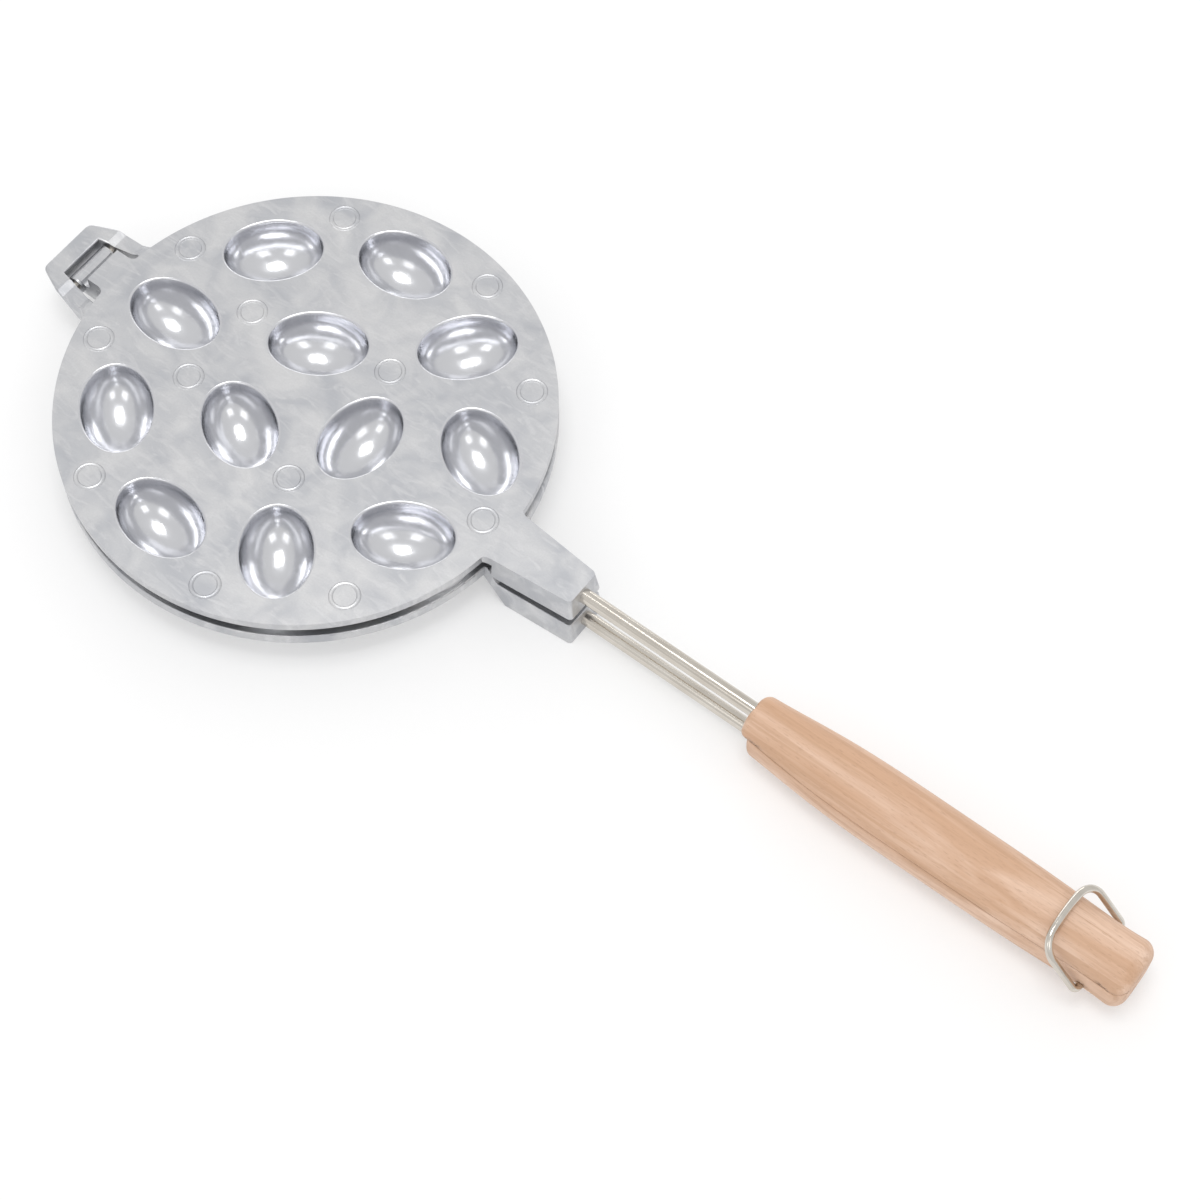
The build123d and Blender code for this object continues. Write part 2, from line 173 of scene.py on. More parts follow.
def blended(finish, share, first, second):
    """One colour where the share is 0, the other where it is 1; a colour may be a socket."""
    mix = finish.node_tree.nodes.new("ShaderNodeMix")
    mix.data_type = "RGBA"
    finish.node_tree.links.new(share, mix.inputs["Factor"])
    for socket, colour in ((mix.inputs["A"], first), (mix.inputs["B"], second)):
        if isinstance(colour, tuple):
            socket.default_value = (*colour, 1)
        else:
            finish.node_tree.links.new(colour, socket)
    return mix.outputs["Result"]


def relief(finish, shader, layers):
    """Bumps laid over each other: each layer is a height, a strength and a depth in metres."""
    normal = None
    for height, strength, depth in layers:
        bump = finish.node_tree.nodes.new("ShaderNodeBump")
        bump.inputs["Strength"].default_value = strength
        bump.inputs["Distance"].default_value = depth
        finish.node_tree.links.new(height, bump.inputs["Height"])
        if normal is not None:
            finish.node_tree.links.new(normal, bump.inputs["Normal"])
        normal = bump.outputs["Normal"]
    finish.node_tree.links.new(normal, shader.inputs["Normal"])


def finished(finish, shader, colour, roughness):
    """Links a finish's colour and roughness to its shader, and says that it is done."""
    finish.node_tree.links.new(colour, shader.inputs["Base Color"])
    finish.node_tree.links.new(roughness, shader.inputs["Roughness"])
    print("finish", finish.name, len(finish.node_tree.nodes), "nodes")


# %% [markdown]
# ### Cast aluminium
# The discs are die castings that were wiped over with a fine abrasive: a satin grey with soft
# patches a centimetre or two across, a fine grain, and a few hair-thin rubbing marks. One grey
# would look like paint, so patches and wiped streaks vary the colour and the roughness a little.
# The grain and the marks are bumps.

# %% Cast aluminium
cast, shader, place = new_finish("cast_aluminium", metallic=1.0)
dull_grey = (0.49, 0.50, 0.525)
clean_grey = (0.65, 0.65, 0.655)
wiped_grey = (0.77, 0.77, 0.78)
pore_grey = (0.42, 0.42, 0.44)
wiping = stretched(cast, place, (90, 260, 90), turn=35)
rubbing = stretched(cast, place, (35, 900, 35), turn=32)
patches = clouds(cast, place, per_metre=55, detail=6, distortion=0.8)
wiped = clouds(cast, wiping, COUNTED, detail=4, distortion=1.2)
grain = clouds(cast, place, per_metre=1500, detail=2)
rubbed = clouds(cast, rubbing, COUNTED)
grey = blended(cast, band(cast, patches, low=0.34, high=0.66), dull_grey, clean_grey)
veins = band(cast, wiped, low=0.50, high=0.70, to_high=0.5)
pores = band(cast, grain, low=0.35, high=0.75, to_high=0.2)
speckled = blended(cast, pores, blended(cast, veins, grey, wiped_grey), pore_grey)
satin = band(cast, wiped, low=0.3, high=0.7, to_low=0.46, to_high=0.36)
wiped_relief = (wiped, 0.10, 0.3 * MM)
grain_relief = (grain, 0.25, 0.05 * MM)
rubbed_relief = (rubbed, 0.14, 0.04 * MM)
relief(cast, shader, [wiped_relief, grain_relief, rubbed_relief])
finished(cast, shader, speckled, satin)

# %% [markdown]
# ### Polished hollows
# The punches are polished so that the baked shells let go. A perfect mirror would be simpler, but
# a polished casting is never quite even: a faint waviness bends the reflections, and fine streaks
# make them duller in places. The waviness is a very low, wide bump.

# %% Polished aluminium
polished, shader, place = new_finish("polished_aluminium", metallic=1.0)
polished_grey = (0.70, 0.705, 0.73, 1)
shader.inputs["Base Color"].default_value = polished_grey
waves = clouds(polished, place, per_metre=170, detail=2)
polishing = stretched(polished, place, (60, 420, 60), turn=32)
streaks = clouds(polished, polishing, COUNTED)
gloss = band(polished, streaks, low=0.3, high=0.7, to_low=0.15, to_high=0.25)
polished.node_tree.links.new(gloss, shader.inputs["Roughness"])
wave_relief = (waves, 0.2, 0.6 * MM)
relief(polished, shader, [wave_relief])
print("finish", polished.name, len(polished.node_tree.nodes), "nodes")

# %% [markdown]
# ### Drawn steel
# The rods, the pin and the bail are bright drawn wire. Their grey is tinted warm, a painted
# reflection of warm surroundings in the wire.
# Drawing leaves fine lines along the wire. Modelled lines would be far too fine, so the pattern
# is squeezed across the rods and stretched along them, and broad faint stains darken the metal
# here and there.

# %% Steel
steel, shader, place = new_finish("bright_steel", metallic=1.0)
# Both steel greys carry a painted warm reflection over the steel's own colour; the second also has
# real stains.
steel_tinted_as_painted_reflection = (0.70, 0.66, 0.60)
stains_tinted_as_painted_reflection = (0.57, 0.52, 0.455)
drawn = clouds(steel, stretched(steel, place, (14, 1500, 1500)), COUNTED)
stains = clouds(steel, stretched(steel, place, (60, 160, 160)), COUNTED)
bright = blended(steel, band(steel, stains, low=0.35, high=0.75), steel_tinted_as_painted_reflection, stains_tinted_as_painted_reflection)
sheen = band(steel, drawn, low=0.3, high=0.7, to_low=0.10, to_high=0.22)
drawn_relief = (drawn, 0.12, 0.04 * MM)
relief(steel, shader, [drawn_relief])
finished(steel, shader, bright, sheen)

# %% [markdown]
# ### Beech
# The handle is bare, turned beech. Beech is pinkish brown and fine, with broad soft figure along
# the piece, darker year rings, fine straight fibres, and many short dark flecks where its rays
# are cut. Rings can be drawn as true cylinders, but on a short handle they show as long uneven
# bands, so each of these is one cloud pattern, drawn out along the handle by a different amount.

# %% Beech: its patterns
beech, shader, place = new_finish("beech", metallic=0.0)
figure = clouds(beech, stretched(beech, place, (9, 62, 62)), COUNTED, detail=4, distortion=1.6)
fibres = clouds(beech, stretched(beech, place, (45, 1300, 1300)), COUNTED, detail=4)
flecks = clouds(beech, stretched(beech, place, (330, 2300, 2300)), COUNTED, detail=1)
rings = clouds(beech, stretched(beech, place, (4, 150, 90)), COUNTED, distortion=2.6)

# %% Beech: its colours and relief
dark_beech = (0.63, 0.39, 0.25)
pale_beech = (0.84, 0.61, 0.47)
ring_brown = (0.55, 0.33, 0.20)
fibre_brown = (0.50, 0.30, 0.19)
fleck_brown = (0.36, 0.20, 0.12)
tone = blended(beech, band(beech, figure, low=0.34, high=0.66), dark_beech, pale_beech)
ring_share = band(beech, rings, low=0.50, high=0.60, to_high=0.6)
fibre_share = band(beech, fibres, low=0.38, high=0.72, to_high=0.3)
fleck_share = band(beech, flecks, low=0.60, high=0.72, to_high=0.3)
ringed = blended(beech, ring_share, tone, ring_brown)
lined = blended(beech, fibre_share, ringed, fibre_brown)
flecked = blended(beech, fleck_share, lined, fleck_brown)
dry = band(beech, fibres, low=0.3, high=0.7, to_low=0.44, to_high=0.60)
fibre_relief = (fibres, 0.22, 0.06 * MM)
fleck_relief = (flecks, 0.12, 0.05 * MM)
relief(beech, shader, [fibre_relief, fleck_relief])
finished(beech, shader, flecked, dry)

# %% [markdown]
# ## The top disc
# On the real iron this is one casting: a flat disc with a hinge tongue on one side, a stem for
# the rod on the other, and hollow punches that press the dough into the cavities below. The
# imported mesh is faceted, and the hollows are polished, so their reflections would break up. The
# disc is therefore made again here with many more faces, by the same steps as a pattern maker:
# blank, tongue, stem, punches, and last the hollows cut out of it.

# %% Picking parts of a mesh
SQUARE_ON = 0.9  # a face whose normal has this much of an axis looks along it


def pick(piece, kind, test):
    """Selects the faces, edges or vertices for which the test is true, and says how many."""
    bpy.ops.mesh.select_mode(type=kind)
    bpy.ops.mesh.select_all(action="DESELECT")
    mesh = bmesh.from_edit_mesh(piece.data)
    items = {"FACE": mesh.faces, "EDGE": mesh.edges, "VERT": mesh.verts}[kind]
    count = 0
    for item in items:
        if test(item):
            item.select_set(True)
            count += 1
    mesh.select_flush_mode()
    bmesh.update_edit_mesh(piece.data)
    return count


def middle(edge):
    """The point halfway along an edge."""
    return (edge.verts[0].co + edge.verts[1].co) / 2


def rise(edge):
    """How far an edge climbs from one end to the other."""
    return abs(edge.verts[0].co.z - edge.verts[1].co.z)


# %% [markdown]
# ### Stock and joints
# The parts of the casting are simple solids that run into each other. They could be welded by
# hand, vertex by vertex, but a boolean finds where they meet and keeps the mesh closed. Each part
# starts as a block or a bar at its real size, and its place is put into its mesh before it is
# joined.

# %% Blocks, bars and booleans
def added(name):
    """The primitive that was just added, under its own name and with its place in its mesh."""
    piece = bpy.context.view_layer.objects.active
    piece.name = name
    only(piece)
    bpy.ops.object.transform_apply(location=True, rotation=True, scale=True)
    return piece


def block(name, x, y, z):
    """A block between two x, two y and two z."""
    bpy.ops.object.select_all(action="DESELECT")
    bpy.ops.mesh.primitive_cube_add(size=1)
    bpy.context.object.scale = (x[1] - x[0], y[1] - y[0], z[1] - z[0])
    bpy.context.object.location = ((x[0] + x[1]) / 2, (y[0] + y[1]) / 2, (z[0] + z[1]) / 2)
    return added(name)


ALONG_X = (0, math.radians(90), 0)
ALONG_Y = (math.radians(90), 0, 0)
ALONG_Z = (0, 0, 0)


def bar(name, radius, length, place, lie, sides):
    """A round bar about a place, lying along X or Y or standing along Z."""
    bpy.ops.object.select_all(action="DESELECT")
    bpy.ops.mesh.primitive_cylinder_add(
        vertices=sides, radius=radius, depth=length, location=place, rotation=lie
    )
    return added(name)


def cut_or_join(piece, tool, operation):
    """Joins another piece to this one, or cuts it out, and throws the tool away."""
    only(piece)
    step = piece.modifiers.new(operation.lower(), "BOOLEAN")
    step.operation = operation
    step.object = tool
    step.solver = "EXACT"
    step.material_mode = "TRANSFER"
    bpy.ops.object.modifier_apply(modifier=step.name)
    bpy.data.objects.remove(tool)
    print(operation.lower(), "gives", len(piece.data.polygons), "faces")


# %% [markdown]
# ### Where the nuts and the ejector marks stand
# The twelve nuts lie on two loose rings and are turned this way and that, in mirror pairs about
# the line from hinge to handle. So only one side is listed, as a distance from the middle, a
# bearing and the turn of the nut's long axis, and the twins follow. The round marks are where
# ejector pins pushed the casting out of its die, and they are listed in the same way.

# %% Places of nuts and marks
nut_rows = [
    (63.9, 180.0, 0.0),
    (69.1, 140.4, 44.0),
    (69.7, 98.0, 6.0),
    (63.2, 59.4, 50.5),
    (67.6, 19.0, -30.0),
    (25.6, 120.0, 30.0),
    (25.6, 0.0, 90.0),
]
mark_rows = [
    (82.8, 0.0, 0.0),
    (82.8, 40.3, 0.0),
    (82.8, 75.2, 0.0),
    (82.8, 120.0, 0.0),
    (82.8, 162.0, 0.0),
    (33.0, 60.6, 0.0),
    (45.0, 156.5, 0.0),
]
off_line = 0.01 * MM


def both_sides(rows):
    """x, y and turn of each row, and of its mirror twin unless it stands on the middle line."""
    places = []
    for distance, bearing, turn in rows:
        x = disc_x + distance * MM * math.cos(math.radians(bearing))
        y = distance * MM * math.sin(math.radians(bearing))
        places.append((x, y, math.radians(turn)))
        if y > off_line:
            places.append((x, -y, math.radians(-turn)))
    return places


nut_places = both_sides(nut_rows)
mark_places = both_sides(mark_rows)
print(len(nut_places), "nuts and", len(mark_places), "ejector marks")

# %% [markdown]
# ### One nut
# A hollow is a short straight neck and half an ellipsoid under it. A squashed sphere would do for
# the crown, but it has no neck and no rounded lip. So the nut is built from the top down: an
# ellipse is extruded from ring to ring, each ring drawn in as the form needs, until it closes in
# a point. The same helper makes the punch, which is the hollow plus the thickness of the casting.

# %% Rings of a nut
top_thick = 3.75 * MM
plate_gap = 0.3 * MM
neck = top_thick + plate_gap
above_face = 0.5 * MM
lip_steps = 4
nearly_closed = 1e-4


def nut_rings(half_length, half_width, lip, steps):
    """Level, half length and half width of each ring, from above the lip to the crown."""
    rings = [(above_face, half_length + lip, half_width + lip)]
    for i in range(lip_steps + 1 if lip else 0):
        turn = math.radians(90 * i / lip_steps)
        out = lip * (1 - math.sin(turn))
        rings.append((-lip * (1 - math.cos(turn)), half_length + out, half_width + out))
    rings.append((-neck, half_length, half_width))
    for i in range(1, steps + 1):
        turn = math.radians(90 * i / steps)
        draw = max(math.cos(turn), nearly_closed)
        level = -neck - half_width * math.sin(turn)
        rings.append((level, half_length * draw, half_width * draw))
    return rings


# %% Rings into a nut
def nut(name, rings, around):
    """A closed nut standing on the origin, its long axis along X."""
    bpy.ops.object.select_all(action="DESELECT")
    bpy.ops.mesh.primitive_circle_add(
        vertices=around, radius=1, fill_type="NGON", location=(0, 0, 0)
    )
    piece = bpy.context.object
    piece.name = name
    level, half_length, half_width = rings[0]
    bpy.ops.object.mode_set(mode="EDIT")
    bpy.ops.mesh.select_all(action="SELECT")
    bpy.ops.transform.resize(value=(half_length, half_width, 1))
    bpy.ops.transform.translate(value=(0, 0, level))
    for next_level, next_length, next_width in rings[1:]:
        drop = (0, 0, next_level - level)
        draw = (next_length / half_length, next_width / half_width, 1)
        bpy.ops.mesh.extrude_region_move(TRANSFORM_OT_translate={"value": drop})
        bpy.ops.transform.resize(value=draw, center_override=(0, 0, next_level))
        level, half_length, half_width = next_level, next_length, next_width
    bpy.ops.mesh.select_all(action="SELECT")
    bpy.ops.mesh.remove_doubles(threshold=0.01 * MM)
    bpy.ops.mesh.normals_make_consistent(inside=False)
    bpy.ops.object.mode_set(mode="OBJECT")
    return piece


# %% [markdown]
# ### Twelve from one
# What repeats is modelled once. The model is copied to every place, each copy is turned to its
# own bearing, and the copies are joined into one tool, so that a single boolean cuts or adds all
# of them.

# %% Copies at every place
def spread(name, model, places):
    """Copies the model to every place, each turned to its own bearing, and joins the copies."""
    copies = []
    for x, y, turn in places:
        only(model)
        bpy.ops.object.duplicate()
        copy = bpy.context.view_layer.objects.active
        copy.rotation_euler = (0, 0, turn)
        copy.location = (x, y, top_z)
        copies.append(copy)
    bpy.ops.object.select_all(action="DESELECT")
    for copy in copies:
        copy.select_set(True)
    bpy.context.view_layer.objects.active = copies[0]
    bpy.ops.object.join()
    bpy.data.objects.remove(model)
    return added(name)


# %% [markdown]
# ### The blank
# The disc is a flat plate, just under 4 mm thick. A cylinder with a few dozen sides would show
# corners along the rim, where the eye is quick to see them, so it has 288, close enough to round
# for a close look.

# %% Disc
disc_sides = 288
disc_place = (disc_x, 0, top_z - top_thick / 2)
top_disc = bar("top_disc", disc_radius, top_thick, disc_place, ALONG_Z, disc_sides)
top_disc.data.materials.append(cast)
print("blank", len(top_disc.data.polygons), "faces")

# %% [markdown]
# ### The hinge tongue
# The disc goes on past its rim as a short tongue, which bends down and then out to the pin. It
# could be three blocks joined together, but one block that is extruded twice has no seams inside:
# first the underside near the front goes down, then the lower part of the front goes out. Both
# extrusions start from a face that bisect has cut to size. Each level is kept a twentieth of a
# millimetre clear of the knuckle's own, because planes that only graze a cylinder confuse a
# boolean.

# %% Tongue
pin_x = disc_x - 107.0 * MM
pin_z = top_z - 9.0 * MM
tongue_half = 8.3 * MM
tongue_front = disc_x - 100.2 * MM
tongue_root = disc_x - 88 * MM
knuckle_radius = 3.7 * MM
clear_of_knuckle = 0.05 * MM
arm_back = tongue_front + top_thick
arm_top = pin_z + knuckle_radius - clear_of_knuckle
arm_low = pin_z - knuckle_radius + clear_of_knuckle
tongue = block(
    "tongue",
    (tongue_front, tongue_root),
    (-tongue_half, tongue_half),
    (top_z - top_thick, top_z),
)


def under_front(face):
    """The underside, in front of the arm's back."""
    return face.normal.z < -SQUARE_ON and face.calc_center_median().x < arm_back


def low_front(face):
    """The front, below the arm's top."""
    return face.normal.x < -SQUARE_ON and face.calc_center_median().z < arm_top


bpy.ops.object.mode_set(mode="EDIT")
bpy.ops.mesh.select_all(action="SELECT")
bpy.ops.mesh.bisect(plane_co=(arm_back, 0, top_z), plane_no=(1, 0, 0))
pick(tongue, "FACE", under_front)
down = (0, 0, arm_low - top_z + top_thick)
bpy.ops.mesh.extrude_region_move(TRANSFORM_OT_translate={"value": down})
bpy.ops.mesh.select_all(action="SELECT")
bpy.ops.mesh.bisect(plane_co=(0, 0, arm_top), plane_no=(0, 0, 1))
pick(tongue, "FACE", low_front)
out_to_pin = (pin_x - tongue_front, 0, 0)
bpy.ops.mesh.extrude_region_move(TRANSFORM_OT_translate={"value": out_to_pin})

# %% [markdown]
# ### The tongue's bends
# A casting has no sharp bends, because metal doesn't fill them and dough would stick there. The
# inner bend gets a small fillet and the outer one a wide rounding. A bevel of the two cross edges
# does both, and each edge is found by where it lies.

# %% Bends of the tongue
same_place = 1e-5
bend_steps = 6
inner_bend = (tongue_front, arm_top, 1.2 * MM)
outer_bend = (arm_back, arm_low, 3.0 * MM)


def tongue_corner(edge, x, z):
    """A cross edge of the tongue at this x and this level."""
    point = middle(edge)
    here = abs(point.x - x) < same_place and abs(point.z - z) < same_place
    return here and abs(edge.verts[0].co.y - edge.verts[1].co.y) > MM


for x, z, size in (inner_bend, outer_bend):
    found = pick(tongue, "EDGE", lambda edge: tongue_corner(edge, x, z))
    bpy.ops.mesh.bevel(offset=size, segments=bend_steps, affect="EDGES")
    print("bend of", round(size / MM, 1), "mm on", found, "edge")
bpy.ops.object.mode_set(mode="OBJECT")

# %% [markdown]
# ### The knuckle
# The pin passes through a round barrel at the tongue's end. It is as long as the hinge frame's
# window is wide, less some play, so it is a little wider than the tongue. A bar across the iron
# is all it needs, since the boolean that joins it to the tongue makes the edges where they meet.

# %% Knuckle
knuckle_half = 9.2 * MM
knuckle_sides = 72
pin_place = (pin_x, 0, pin_z)
knuckle = bar("knuckle", knuckle_radius, 2 * knuckle_half, pin_place, ALONG_Y, knuckle_sides)
print("knuckle", len(knuckle.data.polygons), "faces")

# %% [markdown]
# ### The stem
# On the other side a stem block holds the rod. It narrows towards its end and grows wider
# downwards, which is the draft that lets a casting leave its die. A block could be tapered with a
# modifier, but here two slopes meet, so the end face is drawn in first. The root goes on into the
# disc, and then every vertex below the top moves out by the draft.

# %% Stem: root and taper
stem_root = disc_x + 95.3 * MM
stem_end = disc_x + 128.0 * MM
stem_root_half = 10.57 * MM
stem_end_half = 7.6 * MM
stem_height = 10.5 * MM
stem_taper = stem_end_half / stem_root_half
root_run = (-7 * MM, 0, 0)
root_flare = 1.06
disc_under = top_z - top_thick
stem = block(
    "stem",
    (stem_root, stem_end),
    (-stem_root_half, stem_root_half),
    (top_z - stem_height, top_z),
)


def root_face(face):
    """The part of the root that meets the disc's rim."""
    return face.normal.x < -SQUARE_ON and face.calc_center_median().z > disc_under


bpy.ops.object.mode_set(mode="EDIT")
pick(stem, "FACE", lambda face: face.normal.x > SQUARE_ON)
bpy.ops.transform.resize(value=(1, stem_taper, 1))
bpy.ops.mesh.select_all(action="SELECT")
bpy.ops.mesh.bisect(plane_co=(0, 0, disc_under), plane_no=(0, 0, 1))
print("root faces run into the disc:", pick(stem, "FACE", root_face))
bpy.ops.mesh.extrude_region_move(TRANSFORM_OT_translate={"value": root_run})
bpy.ops.transform.resize(value=(1, root_flare, 1))

# %% Stem: draft and corners
stem_draft = math.tan(math.radians(6.5))
stem_corner = 1.5 * MM
corner_steps = 5


def end_corner(edge):
    """An upright edge at the stem's end."""
    return middle(edge).x > stem_end - MM and rise(edge) > MM


mesh = bmesh.from_edit_mesh(stem.data)
for vertex in mesh.verts:
    out = (top_z - vertex.co.z) * stem_draft
    vertex.co.y += math.copysign(out, vertex.co.y)
    if vertex.co.x > stem_end - MM:
        vertex.co.x += out
bmesh.update_edit_mesh(stem.data)
print("corners at the stem's end:", pick(stem, "EDGE", end_corner))
bpy.ops.mesh.bevel(offset=stem_corner, segments=corner_steps, affect="EDGES")
bpy.ops.object.mode_set(mode="OBJECT")

# %% [markdown]
# ### Joining the blank
# Disc, tongue, knuckle and stem become one casting. Their top faces lie in the same plane, and
# where two of them overlap, the boolean can leave the same face twice. Such twins would show as a
# black patch, so faces that share all their corners are looked for and one of each pair is
# deleted. Then the leftover lines across flat faces are dissolved, so that the next bevels don't
# run into them.

# %% Join the blank
weld = 0.005 * MM
still_flat = math.radians(0.1)
for tool in (tongue, knuckle, stem):
    cut_or_join(top_disc, tool, "UNION")
only(top_disc)
bpy.ops.object.mode_set(mode="EDIT")
bpy.ops.mesh.select_all(action="SELECT")
bpy.ops.mesh.remove_doubles(threshold=weld)
mesh = bmesh.from_edit_mesh(top_disc.data)
corners, twins = set(), []
for face in mesh.faces:
    key = frozenset(vertex.index for vertex in face.verts)
    if key in corners:
        twins.append(face)
    corners.add(key)
print("doubled faces taken away where flat tops meet:", len(twins))
bmesh.ops.delete(mesh, geom=twins, context="FACES")
bmesh.update_edit_mesh(top_disc.data)
bpy.ops.mesh.select_all(action="SELECT")
bpy.ops.mesh.dissolve_limited(angle_limit=still_flat)

# %% [markdown]
# ### Corners at the rim
# Where the tongue and the stem leave the rim, the casting has a hollow rounding of about 3 mm. It
# could be drawn into the outline beforehand, but then the outline would have to know where a
# circle meets a slanting block. It is easier to find the upright edges after the join and bevel
# them.

# %% Corners at the rim
rim_corner = 3.0 * MM
rim_steps = 8
on_rim = 0.6 * MM
beside_middle = 13 * MM
tall = 2 * MM
turns_at_least = math.radians(25)


def at_rim(edge):
    """Upright edges where the tongue and the stem leave the rim."""
    point = middle(edge)
    from_rim = abs(math.hypot(point.x - disc_x, point.y) - disc_radius)
    turns = edge.is_manifold and edge.calc_face_angle(0) > turns_at_least
    near = from_rim < on_rim and abs(point.y) < beside_middle
    return near and rise(edge) > tall and turns


print("upright corners at the rim:", pick(top_disc, "EDGE", at_rim))
bpy.ops.mesh.bevel(offset=rim_corner, segments=rim_steps, affect="EDGES")
bpy.ops.object.mode_set(mode="OBJECT")

# %% [markdown]
# ### Broken edges
# No edge of a wiped casting is sharp: each catches a thin line of light. Rounding every edge by
# hand would be long work, and a Bevel modifier with an angle limit does it all at once. It comes
# before the hollows, whose lips have their own rounding.

# %% Broken edges
broken = top_disc.modifiers.new("broken_edges", "BEVEL")
broken.width = 0.6 * MM
broken.segments = 3
broken.limit_method = "ANGLE"
broken.angle_limit = math.radians(40)
bpy.ops.object.modifier_apply(modifier="broken_edges")
print("blank with broken edges", len(top_disc.data.polygons), "faces")

# %% [markdown]
# ### Punches on, hollows out
# Below the disc stand twelve punches, and each is open from above as a hollow, so that the
# casting is equally thick all over and heats evenly. A Solidify modifier could give such a wall,
# but the neck, the lip and the flat disc need different thicknesses. So the full punches are
# joined on first, a little sunk so that they start inside the plate, and then the hollows are cut
# out. The cutting tool carries the polished finish, and the boolean hands it over to the faces
# that it cuts.

# %% Punches and hollows
nut_half_length = 18.6 * MM
nut_half_width = 13.3 * MM
lip_round = 0.9 * MM
punch_wall = 2.2 * MM
punch_sunk = 1.5 * MM
punch_steps, punch_around = 10, 64
hollow_steps, hollow_around = 20, 96
punch_rings = nut_rings(nut_half_length + punch_wall, nut_half_width + punch_wall, 0, punch_steps)
hollow_rings = nut_rings(nut_half_length, nut_half_width, lip_round, hollow_steps)
punch = nut("punch", punch_rings, punch_around)
for vertex in punch.data.vertices:
    if vertex.co.z > 0:
        vertex.co.z -= punch_sunk
cut_or_join(top_disc, spread("punches", punch, nut_places), "UNION")
hollow = nut("hollow", hollow_rings, hollow_around)
hollow.data.materials.append(polished)
cut_or_join(top_disc, spread("hollows", hollow, nut_places), "DIFFERENCE")

# %% [markdown]
# ### The cove behind the knuckle
# Seen from above, the tongue's front is hollowed between its top edge and the knuckle, and the
# shade in there sets the hinge off. An inset and a few moved edges could make it, but a round bar
# laid across the front and cut out gives an even curve in one step.

# %% Cove
cove_radius = 2.3 * MM
cove_sides = 64
cove_place = (tongue_front - 2.1 * MM, 0, top_z - 4.5 * MM)
cove = bar("cove", cove_radius, 3 * tongue_half, cove_place, ALONG_Y, cove_sides)
cut_or_join(top_disc, cove, "DIFFERENCE")

# %% [markdown]
# ### Ejector marks
# Each ejector pin left a shallow ring on the top face. A bump in the finish could draw it, but
# the rings are wide enough to catch the light from the side, so they are real grooves: a
# flattened torus whose middle lies in the face is cut out at every place.

# %% Ejector marks
mark_radius = 5.0 * MM
groove_half = 0.85 * MM
groove_flat = 0.45
bpy.ops.object.select_all(action="DESELECT")
bpy.ops.mesh.primitive_torus_add(
    major_radius=mark_radius,
    minor_radius=groove_half,
    major_segments=64,
    minor_segments=10,
    location=(0, 0, 0),
)
bpy.context.object.scale = (1, 1, groove_flat)
mark = added("mark")
cut_or_join(top_disc, spread("marks", mark, mark_places), "DIFFERENCE")

# %% [markdown]
# ### Holes for the pin and the rod
# The pin runs through the knuckle, and the rod goes deep into the stem. Both holes were drilled
# after casting, so both are cut with plain bars, a little wider than what goes in. Cut last, they
# keep sharp drilled edges, which the broken edges of the casting don't have.

# %% Holes
hole_sides = 48
pin_hole_radius = 2.05 * MM
pin_hole_length = 30 * MM
rod_hole_radius = 2.83 * MM
rod_hole_length = 44 * MM
rod_place = (stem_end, 0, top_z - 4.9 * MM)
pin_hole = bar("pin_hole", pin_hole_radius, pin_hole_length, pin_place, ALONG_Y, hole_sides)
cut_or_join(top_disc, pin_hole, "DIFFERENCE")
rod_hole = bar("rod_hole", rod_hole_radius, rod_hole_length, rod_place, ALONG_X, hole_sides)
cut_or_join(top_disc, rod_hole, "DIFFERENCE")

# %% [markdown]
# ### Smooth shading
# Faces that meet at a small angle belong to one curve, and are shaded as one. Alone, that would
# also tilt the light on big flat faces beside small roundings. A Weighted Normal modifier lets
# the big faces decide, so they stay flat to the eye.

# %% Smooth shading
FACE_WEIGHT = 100


def smoothed(piece, angle):
    """Shades curves smooth, up to an angle in degrees, and keeps big flat faces flat."""
    only(piece)
    bpy.ops.object.shade_smooth_by_angle(angle=math.radians(angle))
    weights = piece.modifiers.new("weights", "WEIGHTED_NORMAL")
    weights.keep_sharp = True
    weights.weight = FACE_WEIGHT
    bpy.ops.object.modifier_apply(modifier="weights")
    print(piece.name, len(piece.data.polygons), "faces")


smoothed(top_disc, angle=28)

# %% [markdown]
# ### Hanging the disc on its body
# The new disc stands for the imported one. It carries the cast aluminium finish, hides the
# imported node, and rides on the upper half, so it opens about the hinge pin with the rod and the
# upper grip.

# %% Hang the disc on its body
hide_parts("top_plate")
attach(top_disc, "upper_half")
print("top disc rides on upper_half")

# %% [markdown]
# ## The other pieces
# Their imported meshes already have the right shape, and they are fine enough, so modelling them
# again would add nothing. But they are loose triangles with hard edges between them. A copy of
# each is joined up, its curves are shaded smooth, and it gets its finish. The slanting saddles of
# the hinge frame meet flat faces at small angles, so the bottom disc is smoothed only up to 14
# degrees, while the turned grips and the bent bail have coarser curves and need more.

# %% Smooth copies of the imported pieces
def smooth_copy(node, name, finish, angle=30):
    """A finished piece with the node's shape, which then stands for the node."""
    only(frame["nodes"][node])
    bpy.ops.object.duplicate()
    piece = bpy.context.view_layer.objects.active
    body = frame["nodes"][node]["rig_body"]
    for key in list(piece.keys()):
        del piece[key]
    piece.parent = None
    piece.name = name
    piece.data.materials.clear()
    piece.data.materials.append(finish)
    bpy.ops.object.mode_set(mode="EDIT")
    bpy.ops.mesh.select_all(action="SELECT")
    bpy.ops.mesh.remove_doubles(threshold=0.001 * MM)
    bpy.ops.object.mode_set(mode="OBJECT")
    smoothed(piece, angle)
    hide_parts(node)
    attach(piece, body)


